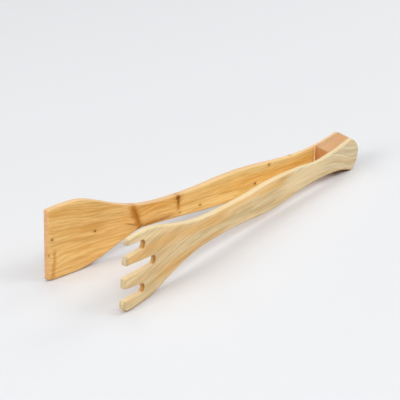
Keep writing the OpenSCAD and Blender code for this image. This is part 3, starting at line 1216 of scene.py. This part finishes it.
FORK_WOOD = JuniperFinish(
    name="fork_juniper",
    early=srgb(233, 210, 164), late=(0.74, 0.66, 0.53, 1.0), other=srgb(234, 186, 116),
    end=srgb(196, 177, 141), rim=srgb(223, 202, 160), sap=srgb(252, 222, 168), stain=srgb(235, 175, 72),
    pith=(0.0, -0.030, -0.044), ring_width=0.0025, waviness=0.010, band_share=0.4,
    heel=(0.99, 1.05, 1.17, 1.0), heel_from=0.130, heel_to=0.075, heel_rim=(0.91, 0.91, 0.90, 1.0),
    stains=(
        Streak(0.1520, 0.0070, 0.1040, 0.0055, 0.0034, 0.65),
        Streak(0.2300, 0.0080, 0.1150, 0.0075, 0.0026, 0.4),
    ),
    pale=(
        Streak(0.2150, 0.0120, 0.1250, 0.0140, 0.0034, 0.7),
        Streak(0.3300, 0.0240, 0.2400, 0.0170, 0.0034, 0.5),
        Streak(0.1200, -0.0020, 0.0400, 0.0020, 0.0100, 0.5),
        Streak(0.2050, 0.0066, 0.1120, 0.0080, 0.0042, 0.8),
    ),
    streaks=(
        Streak(0.3450, 0.0112, 0.2350, 0.0105, 0.0085, 0.9),
        Streak(0.2750, 0.0112, 0.1700, 0.0010, 0.0058, 0.9),
        Streak(0.2100, 0.0020, 0.1200, 0.0120, 0.0050, 0.9),
        Streak(0.1600, 0.0110, 0.0850, 0.0092, 0.0042, 0.9),
        Streak(0.2950, -0.0156, 0.1850, -0.0086, 0.0075, 0.9),
    ),
    worn=(
        Streak(0.3195, 0.0340, 0.3204, 0.0010, 0.0030, 1.0),
        Streak(0.3215, 0.0040, 0.3234, -0.0400, 0.0016, 0.8),
    ),
    swirls=(
        Swirl(-0.0080, 0.0000, 0.0280, 0.0400, 0.0115),
        Swirl(0.3300, 0.0000, 0.0700, 0.0600, 0.0180),
    ),
)

BLOCK_WOOD = JuniperFinish(
    name="block_juniper",
    early=srgb(196, 155, 113), late=(0.88, 0.80, 0.70, 1.0), other=srgb(210, 146, 88),
    end=srgb(190, 130, 77), pith=(0.0, 0.030, -0.022), ring_width=0.0022, waviness=0.006,
    rim_share=0.0, dash_share=0.5,
)


class Workshop:
    """The shared node groups of the wood, and the geometry node trees of boards, slices and beads."""

    def __init__(self) -> None:
        """Build each of them once."""
        self.effects = WoodEffects()
        self.board, self.slice, self.bead = bent_board_tree(), wedge_tree(), bead_tree()


@dataclass
class Arm:
    """One arm: a board sawn to its outline, softened, bent in plan and dressed."""

    name: str
    node: str
    body: str
    slot: str
    side: Side
    upper: EdgeShape
    lower: EdgeShape
    head_up: float
    corner_radius: float
    finish: JuniperFinish
    sizes: HandleSizes
    rest: Rest
    shop: Workshop
    slots: tuple[Slot, ...] = ()
    tip_slant: float = 0.0
    slant_pivot: float = 0.005
    tine_soft: float = 0.0008
    tine_corner: float = 0.0015
    corner_soft: float = 0.0012
    corner_steps: int = 6
    bored_spread: float = 1.6
    bend_end: float = 0.110
    sanding_wave: float = 0.00022
    butt_dip: float = 0.0
    edge_points: int = 200
    outline_step: float = 0.0022

    def edge_height(self, u: float, edge: EdgeShape, head: float) -> float:
        """Half-height of one edge without its fall at the tip.

        Args:
            u: Distance from the butt's corners.
            edge: Shape of the edge.
            head: Half-height that the edge swells to.

        Returns:
            Distance from the centre line.
        """
        s = self.sizes
        neck_at = s.length - edge.neck_back
        if u < s.waist_at:
            return s.flare_low(u) if edge.is_lower else s.flare(u)
        if u < s.swell_at:
            return mix(s.waist_height, edge.swell, ease((u - s.waist_at) / (s.swell_at - s.waist_at)))
        if u < neck_at:
            return mix(edge.swell, edge.neck, ease((u - s.swell_at) / (neck_at - s.swell_at)))
        share = min(1.0, (u - neck_at) / (s.head_at - neck_at))
        return mix(edge.neck, head, ease(share**edge.lateness))

    def upper_z(self, u: float) -> float:
        """Height of the upper edge."""
        past = max(0.0, u - self.sizes.head_at) / self.sizes.head_back
        return self.edge_height(u, self.upper, self.head_up) - self.upper.fall * past**2

    def lower_z(self, u: float) -> float:
        """Height of the lower edge, which runs along the floor under the head."""
        s = self.sizes
        floor = s.flare_low(s.low_corner) + (u - s.low_corner) * math.tan(self.rest.pitch)
        foot_end = s.head_at + s.foot_length
        past = max(0.0, u - foot_end) / (s.length - foot_end)
        return self.lower.fall * past**2 - self.edge_height(u, self.lower, floor)

    def slanted(self, point: Point) -> Point:
        """Move a point of the outline with the aslant cut across the tips."""
        u, z = point
        run = self.tip_slant * (self.slant_pivot - z)
        return u + run * ease((u - self.sizes.head_at) / self.sizes.head_back), z

    def slot_points(self, slot: Slot) -> tuple[list[Point], list[float]]:
        """Points round one slot, from its lower mouth corner to its upper one.

        Args:
            slot: The slot.

        Returns:
            Points of the sides, the round end and the rounded mouth corners, and what is bored of them.
        """
        tip, r, steps, aside = self.sizes.length, slot.root_radius, slot.root_steps, 0.01
        closed, past = tip - slot.length + r, tip + r
        points: list[Point] = []
        bored: list[float] = []
        for sign in (-1, 1):
            root = (closed, slot.root_height + sign * r)
            slope = (slot.mouth_height + sign * slot.mouth_half - root[1]) / (past - closed)
            start = tip + self.tip_slant * (self.slant_pivot - root[1] + slope * closed)
            at = start / (1 + self.tip_slant * slope)
            mouth = (at, root[1] + slope * (at - closed))
            beside = (at - sign * aside * self.tip_slant, mouth[1] + sign * aside)
            lip = corner_arc(beside, mouth, root, self.tine_corner)
            points += lip[::-sign]
            bored += [0.0] * len(lip)
            if sign < 0:
                points += arc((closed, slot.root_height), r, -QUARTER, -math.pi, steps)
                spread = [self.bored_spread * math.sin(math.pi * i / steps) for i in range(steps + 1)]
                bored += map(ease, spread)
        return points, bored

    def outline(self) -> Outline:
        """The arm's outline.

        Returns:
            Points from the butt's lower corner round the tip and the butt's arc.
        """
        s, soft, count = self.sizes, self.sizes.edge_radius, self.edge_points
        tip_soft = self.tine_soft if self.slots else soft
        corner_soft = min(soft, max(tip_soft, self.corner_soft))
        r, steps, run = self.corner_radius, self.corner_steps, s.length - self.corner_radius
        lower = arc((run, self.lower_z(s.length) + r), r, -QUARTER, QUARTER, steps)
        upper = arc((run, self.upper_z(s.length) - r), r, 0.0, QUARTER, steps)
        out = [mix(s.low_corner, run, i / count) for i in range(count)]
        back = [mix(run, -s.low_corner, (i + 1) / count) for i in range(count)]
        made = Outline()
        made.add([self.slanted((u, self.lower_z(u))) for u in out], soft)
        made.add(map(self.slanted, lower), corner_soft)
        for slot in sorted(self.slots, key=lambda item: item.root_height):
            points, bored = self.slot_points(slot)
            made.add(points, tip_soft, bored)
        made.add(map(self.slanted, upper), corner_soft)
        made.add([self.slanted((u, self.upper_z(u))) for u in back], soft)
        made.add(s.butt_arc(), soft)
        return made.even(self.outline_step)

    def build(self) -> None:
        """Make the arm and hide the imported part that it replaces."""
        s = self.sizes
        outline = self.outline()
        inner = [
            mix(s.seam_radius, soft, ease((u - s.block_length) / s.block_length))
            for (u, _), soft in zip(outline.points, outline.soft)
        ]
        piece = FlatBoard(outline, inner).build(self.name)
        shape_piece(piece, self.shop.board, {
            "Length": s.length, "Half Gap": s.butt_gap / 2, "Wedge Slope": s.wedge_slope,
            "Tip Slope": s.tip_slope, "Block Length": s.block_length, "Waist At": s.waist_at,
            "Swell At": s.swell_at, "Neck Thickness": s.neck_thickness,
            "Grip Thickness": s.grip_thickness, "Tip Thickness": s.tip_thickness,
            "Side": self.side.value, "Sanding Wave": self.sanding_wave, "Butt Dip": self.butt_dip,
            "Pitch": self.rest.pitch, "Place": self.rest.place,
            "Material": self.finish.build(self.shop.effects),
        })
        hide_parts(self.node)
        bend_from, bend_to = (
            self.rest.point(u, self.side.value * s.inner_y(u), 0.0)
            for u in (s.block_length, self.bend_end)
        )
        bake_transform(piece)


@dataclass
class Butt:
    """The wedge block and the glue that holds the arms to it."""

    sizes: HandleSizes
    rest: Rest
    shop: Workshop
    finish: JuniperFinish = BLOCK_WOOD
    glue: GlueFinish = GlueFinish()
    # The squeezed glue is pale cream of its own, made brighter still as a painted highlight on the bead
    # in its shaded corner.
    squeezed: GlueFinish = GlueFinish("squeezed_glue", srgb(255, 222, 170), srgb(244, 200, 146))
    bead_radius: float = 0.00065
    bead_unevenness: float = 0.9
    bead_inset: float = 0.0008
    bead_rise: float = 0.6
    bead_steps: int = 40
    film_gap: float = 0.000005
    film_soft: float = 0.00003
    slice_rings: int = 2
    slice_mesh_step: float = 0.003
    edge_points: int = 16
    outline_step: float = 0.0016

    def outline(self, soft: float) -> Outline:
        """Outline of a slice of the butt.

        Args:
            soft: Radius of its edges.

        Returns:
            Points from the butt's lower corner round the inner end and the butt's arc.
        """
        s, count, end = self.sizes, self.edge_points, self.sizes.block_length
        out = [mix(s.low_corner, end, i / count) for i in range(count + 1)]
        back = [mix(end, -s.low_corner, i / count) for i in range(count + 1)]
        made = Outline()
        made.add([(u, -s.flare_low(u)) for u in out], soft)
        made.add([(u, s.flare(u)) for u in back], soft)
        made.add(s.butt_arc(), soft)
        return made.even(self.outline_step)

    def slice(self, name: str, near: Point, far: Point, soft: float, material: Material) -> Piece:
        """Make a slice of the butt between two planes.

        Args:
            name: Name of the piece.
            near: Y of the front plane at the butt's corners, and its slope towards the heads.
            far: The same of the rear plane.
            soft: Radius of its edges.
            material: Its finish.

        Returns:
            The piece, which rides on the butt.
        """
        s, outline = self.sizes, self.outline(soft)
        board = FlatBoard(outline, outline.soft, rings=self.slice_rings, mesh_step=self.slice_mesh_step)
        piece = board.build(name)
        shape_piece(piece, self.shop.slice, {
            "Near Side": near[0], "Near Slope": near[1], "Far Side": far[0], "Far Slope": far[1],
            "Half Gap": s.butt_gap / 2, "Wedge Slope": s.wedge_slope, "Butt Dip": s.front_dip,
            "Pitch": self.rest.pitch, "Place": self.rest.place, "Material": material,
        })
        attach(piece, "butt")
        return piece

    def build_block(self) -> None:
        """Make the wedge block."""
        s, wood = self.sizes, self.finish.build(self.shop.effects)
        half, slope = s.butt_gap / 2 - s.glue_thickness, s.wedge_slope
        block = self.slice("wedge_wood", (-half, -slope), (half, slope), s.seam_radius, wood)
        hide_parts("wedge_block")

    def build_glue(self) -> None:
        """Make the films of glue and the beads that were squeezed out at the block's inner end."""
        film_glue, bead_glue = self.glue.build(), self.squeezed.build()
        for arm, side, seed in (("spatula", Side.REAR, 0.3), ("fork", Side.FRONT, 0.7)):
            self.build_film(arm, side, film_glue)
            self.build_bead(arm, side, seed, bead_glue)

    def build_film(self, arm: str, side: Side, material: Material) -> None:
        """Make one film of glue.

        Args:
            arm: Name of the arm that it holds.
            side: The arm's side.
            material: The glue.
        """
        s = self.sizes
        near, far = sorted(
            (side.value * (s.butt_gap / 2 - depth), side.value * s.wedge_slope)
            for depth in (self.film_gap, s.glue_thickness - self.film_gap)
        )
        film = self.slice(f"{arm}_glue_film", near, far, self.film_soft, material)
        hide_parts(f"{arm}_glue_line")

    def build_bead(self, arm: str, side: Side, seed: float, material: Material) -> None:
        """Make one bead of squeezed-out glue, in the corner of the block's inner end and an arm.

        Args:
            arm: Name of the arm.
            side: The arm's side.
            seed: Where its unevenness starts.
            material: The glue.
        """
        s, count, out = self.sizes, self.bead_steps, self.bead_rise * self.bead_radius
        low = self.bead_inset - s.flare_low(s.block_length)
        high = s.flare(s.block_length) - self.bead_inset
        if side is Side.FRONT:
            high -= s.front_dip
        u = s.block_length + out
        y = side.value * (s.inner_y(u) - out)
        spots = [self.rest.point(u, y, mix(low, high, i / count)) for i in range(count + 1)]
        mesh = bpy.data.meshes.new(f"{arm}_glue_bead")
        mesh.from_pydata(spots, [(i, i + 1) for i in range(count)], [])
        bead = new_object(mesh.name, mesh)
        shape_piece(bead, self.shop.bead, {
            "Radius": self.bead_radius, "Unevenness": self.bead_unevenness, "Seed": seed,
            "Material": material,
        })
        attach(bead, "butt")


@dataclass(frozen=True)
class SoftBox:
    """A soft lamp: its turn from the picture's right and its elevation, in degrees, and its strength."""

    name: str
    turn: float
    elevation: float
    watts: float


@dataclass
class Studio:
    """A pale floor, soft lamps and the camera at the photograph's angle."""

    target: tuple[float, float, float] = (-0.04141, -0.00484, 0.03672)
    azimuth: float = -49.608
    elevation: float = 23.638
    distance: float = 1.14956
    focal_pixels: float = 1490.48
    picture_width: float = 400.0
    sensor: float = 36.0
    clip: tuple[float, float] = (0.05, 20.0)
    floor_half: float = 4.0
    floor_colour: Colour = srgb(216, 217, 219)
    floor_roughness: float = 0.9
    floor_specular: float = 0.1
    room_colour: Colour = srgb(252, 252, 255)
    world_strength: float = 0.10
    backdrop_strength: float = 0.85
    aim: tuple[float, float, float] = (-0.02, 0.0, 0.02)
    lamp_distance: float = 3.5
    lamp_width: float = 1.6
    lamps: tuple[SoftBox, ...] = (
        SoftBox("left_softbox", 180.0, 46.0, 17.0),
        SoftBox("right_softbox", 0.0, 46.0, 39.0),
        SoftBox("near_right_softbox", -40.0, 46.0, 13.0),
        SoftBox("front_softbox", -90.0, 46.0, 34.0),
        SoftBox("front_left_softbox", -135.0, 28.0, 69.0),
        SoftBox("back_softbox", 90.0, 66.0, 27.0),
        SoftBox("back_right_softbox", 45.0, 28.0, 39.0),
    )

    def direct(self, rig: Piece, target: Sequence[float], turn: float, rise: float, far: float) -> None:
        """Stand a lamp or the camera away from a place and turn it towards the place.

        Args:
            rig: The lamp or the camera.
            target: The place that it looks at.
            turn: Angle from the picture's right, in degrees.
            rise: Angle above the floor, in degrees.
            far: Distance from the place.
        """
        turn, rise = math.radians(self.azimuth + turn), math.radians(rise)
        level = math.cos(rise)
        way = Vector((math.cos(turn) * level, math.sin(turn) * level, math.sin(rise)))
        rig.location = Vector(target) + far * way
        rig.rotation_euler = way.to_track_quat("Z", "Y").to_euler()

    def build_camera(self) -> None:
        """Place the camera."""
        front = -90.0
        camera = bpy.data.cameras.new("camera")
        camera.sensor_width = self.sensor
        camera.lens = self.focal_pixels / self.picture_width * self.sensor
        camera.clip_start, camera.clip_end = self.clip
        rig = new_object("camera", camera)
        self.direct(rig, self.target, front, self.elevation, self.distance)
        bpy.context.scene.camera = rig

    def build_floor(self) -> None:
        """Lay the floor."""
        half = self.floor_half
        mesh = bpy.data.meshes.new("floor")
        corners = [(-half, -half, 0), (half, -half, 0), (half, half, 0), (-half, half, 0)]
        mesh.from_pydata(corners, [], [(0, 1, 2, 3)])
        floor = new_object("floor", mesh)
        material = new_material("pale_floor")
        TreePen(material.node_tree).end_surface({
            "Base Color": self.floor_colour, "Roughness": self.floor_roughness,
            "Specular IOR Level": self.floor_specular,
        })
        mesh.materials.append(material)

    def build_lamps(self) -> None:
        """Hang the lamps."""
        for lamp in self.lamps:
            light = bpy.data.lights.new(lamp.name, "AREA")
            light.shape = "SQUARE"
            light.size = self.lamp_width
            light.energy = lamp.watts
            rig = new_object(lamp.name, light)
            self.direct(rig, self.aim, lamp.turn, lamp.elevation, self.lamp_distance)

    def build_room(self) -> None:
        """Set the even light of the room and the pale backdrop past the floor."""
        world = bpy.data.worlds.new("room")
        world.use_nodes = True
        room = world.node_tree.nodes["Background"]
        room.inputs["Color"].default_value = self.room_colour
        pen = TreePen(world.node_tree)
        path = pen.put("ShaderNodeLightPath").outputs
        seen = pen.math("MAXIMUM", path["Is Camera Ray"], path["Is Glossy Ray"])
        seen = pen.math("MAXIMUM", seen, path["Is Transmission Ray"])
        strength = pen.step(seen, 0.0, 1.0, self.world_strength, self.backdrop_strength)
        pen.feed(room.inputs["Strength"], strength)
        bpy.context.scene.world = world
        bpy.context.scene.view_settings.view_transform = "Standard"

    def build(self) -> None:
        """Set up the whole studio."""
        self.build_camera()
        self.build_floor()
        self.build_lamps()
        self.build_room()


def main() -> None:
    """Build the tongs and the studio."""
    logging.basicConfig(level=logging.INFO, format="%(name)s %(message)s")
    sizes = HandleSizes()
    rest = Rest.from_frame(sizes)
    up, low = sizes.swell_up, sizes.swell_low
    Studio().build()
    common = {"sizes": sizes, "rest": rest, "shop": Workshop()}
    spatula = Arm(
        "spatula_board", "spatula_arm", "spatula", "spatula_wood", Side.REAR,
        upper=EdgeShape(up, neck=0.0085, neck_back=0.127, lateness=1.65, fall=0.0015),
        lower=EdgeShape(low, neck=0.0098, neck_back=0.090, lateness=0.8, fall=0.0009, is_lower=True),
        head_up=0.0296, corner_radius=0.002, finish=SPATULA_WOOD, **common,
    )
    fork = Arm(
        "fork_board", "fork_arm", "fork", "fork_wood", Side.FRONT,
        upper=EdgeShape(up, neck=0.0105, neck_back=0.155, lateness=2.0, fall=0.0),
        lower=EdgeShape(low, neck=0.0105, neck_back=0.131, lateness=1.6, fall=0.0034, is_lower=True),
        head_up=0.0272, corner_radius=0.0018, finish=FORK_WOOD, **common,
        slots=(
            Slot(0.0173, 0.0181, 0.0235),
            Slot(0.0005, 0.0029, 0.037),
            Slot(-0.0167, -0.0144, 0.0235),
        ),
        tip_slant=0.075, butt_dip=sizes.front_dip,
    )
    for arm in (spatula, fork):
        arm.build()
    butt = Butt(**common)
    butt.build_block()
    butt.build_glue()


if __name__ == "__main__":
    main()
